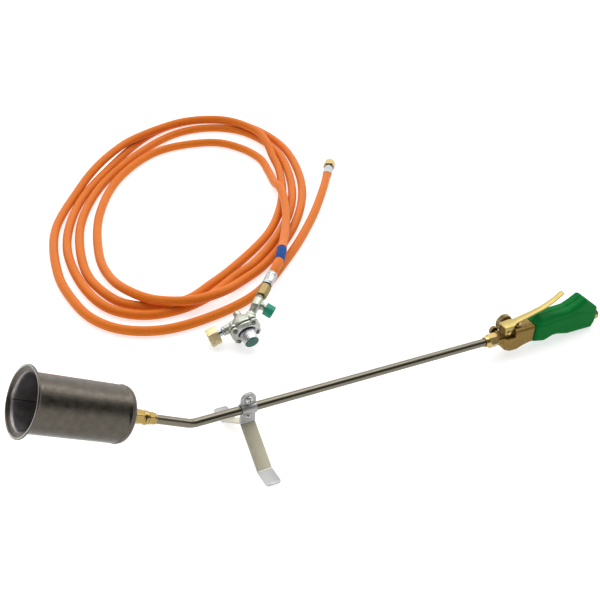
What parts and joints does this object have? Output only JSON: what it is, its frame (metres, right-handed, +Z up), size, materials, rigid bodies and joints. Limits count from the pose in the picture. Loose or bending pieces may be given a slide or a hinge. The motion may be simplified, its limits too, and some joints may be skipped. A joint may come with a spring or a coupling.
{
  "type": "propane torch",
  "caption": "Roofing torch: flared steel burner on a bent lance, lever valve in a plastic grip, sheet-steel stand, and a loose hose with cylinder regulator.",
  "frame": {"origin": "on the ground under the middle of the torch's own length and width, the torch standing on its two feet and the heel of its grip", "axes": "+X from the burner's mouth to the hose inlet, +Y towards the side where the hose lies, +Z up"},
  "size_m": [0.7669, 0.9044, 0.1887],
  "materials": {
    "burner_steel": "bare rolled steel, heat-darkened, satin",
    "nickel_tube": "nickel-plated, polished, slightly dark",
    "zinc_plate": "bright zinc plate, satin",
    "brass": "turned and polished",
    "cast_brass": "pressed brass, dull",
    "green_plastic": "moulded, satin",
    "regulator_zinc": "die-cast zinc, satin",
    "spring_steel": "drawn wire and bright screws",
    "ferrule_steel": "plated and crimped",
    "black_rubber": "moulded rubber",
    "cap_plastic": "moulded, satin",
    "teal_plastic": "moulded, satin",
    "orange_rubber": "extruded hose, smooth and slightly glossy",
    "blue_tape": "wound tape"
  },
  "bodies": {
    "root": {"bell_shell": "burner_steel", "bell_back": "burner_steel", "flame_holder": "burner_steel", "jet_holder": "brass", "gas_jet": "brass", "lance_collar": "brass", "lance_tube": "nickel_tube", "stand_leg_near": "zinc_plate", "stand_leg_far": "zinc_plate", "stand_screw": "zinc_plate", "stand_nut": "zinc_plate", "stand_rivet": "zinc_plate", "lance_nut": "brass", "lance_olive": "brass", "valve_body": "cast_brass", "plunger_gland": "brass", "lever_pin": "brass", "flow_gland": "brass", "inlet_tube": "brass", "inlet_fitting": "brass", "grip_near": "green_plastic", "grip_far": "green_plastic", "grip_screw_front": "zinc_plate", "grip_screw_rear": "zinc_plate", "plunger_spring": "spring_steel", "regulator_base": "regulator_zinc", "back_plug": "regulator_zinc", "diaphragm": "black_rubber", "diaphragm_plate": "regulator_zinc", "regulator_bonnet": "regulator_zinc", "bonnet_screw_1": "spring_steel", "bonnet_screw_2": "spring_steel", "bonnet_screw_3": "spring_steel", "bonnet_screw_4": "spring_steel", "pressure_spring": "spring_steel", "spring_plate": "regulator_zinc", "dust_ring": "black_rubber", "inlet_stem": "nickel_tube", "bottle_washer": "black_rubber", "outlet_tube": "regulator_zinc", "rupture_valve_body": "regulator_zinc", "reset_spring": "spring_steel", "outlet_nut": "brass", "hose_nipple_regulator": "brass", "ferrule_regulator": "ferrule_steel", "ferrule_torch": "ferrule_steel", "hose_nipple_torch": "brass", "hose_start": "orange_rubber", "hose_tape": "blue_tape", "hose": "orange_rubber"},
    "lever": {"lever": "brass"},
    "plunger": {"valve_plunger": "brass", "valve_seal": "black_rubber"},
    "flow_knob": {"flow_knob": "brass"},
    "pilot_screw": {"pilot_screw": "brass"},
    "adjusting_knob": {"adjusting_knob": "regulator_zinc", "knob_cap": "teal_plastic"},
    "bottle_nut": {"bottle_nut": "brass"},
    "hose_nut_torch": {"hose_nut_torch": "brass"},
    "reset_button": {"reset_button": "cap_plastic"}
  },
  "joints": [
    {"name": "lever_press", "type": "hinge", "parent": "root", "child": "lever", "pos_m": [0.23004, 0, 0.03657], "axis": [0, 1, 0], "range_deg": [0, 7], "stiffness_Nm_per_rad": 0.6, "springref_deg": -8.59},
    {"name": "plunger_travel", "type": "slide", "parent": "root", "child": "plunger", "axis": [-0.0758, 0, -0.9971], "range_m": [0, 0.0025], "deforming": ["plunger_spring"]},
    {"name": "flow_knob_turn", "type": "hinge", "parent": "root", "child": "flow_knob", "pos_m": [0.24182, 0.018, 0.03316], "axis": [0, 1, 0], "range_deg": [0, 720]},
    {"name": "pilot_screw_turn", "type": "hinge", "parent": "root", "child": "pilot_screw", "pos_m": [0.22065, 0.01, 0.03177], "axis": [0, 1, 0], "range_deg": [-360, 360]},
    {"name": "adjusting_knob_turn", "type": "hinge", "parent": "root", "child": "adjusting_knob", "pos_m": [-0.05, 0.15974, 0.01761], "axis": [0, -0.9397, -0.342], "range_deg": [-540, 540]},
    {"name": "bottle_nut_spin", "type": "hinge", "parent": "root", "child": "bottle_nut", "pos_m": [-0.08759, 0.18886, 0.01365], "axis": [0.9397, -0.117, 0.3214], "continuous": true},
    {"name": "hose_nut_spin", "type": "hinge", "parent": "root", "child": "hose_nut_torch", "pos_m": [0.28757, 0.54732, 0.0088], "axis": [0.5878, 0.809, 0], "continuous": true},
    {"name": "reset_button_press", "type": "slide", "parent": "root", "child": "reset_button", "axis": [-0.6559, 0.5957, 0.4637], "range_m": [0, 0.0025], "stiffness_N_per_m": 400, "springref_m": -0.002, "deforming": ["reset_spring"]}
  ],
  "couplings": [
    {"joint": "plunger_travel", "follows": "lever_press", "m_per_rad": 0.018}
  ]
}
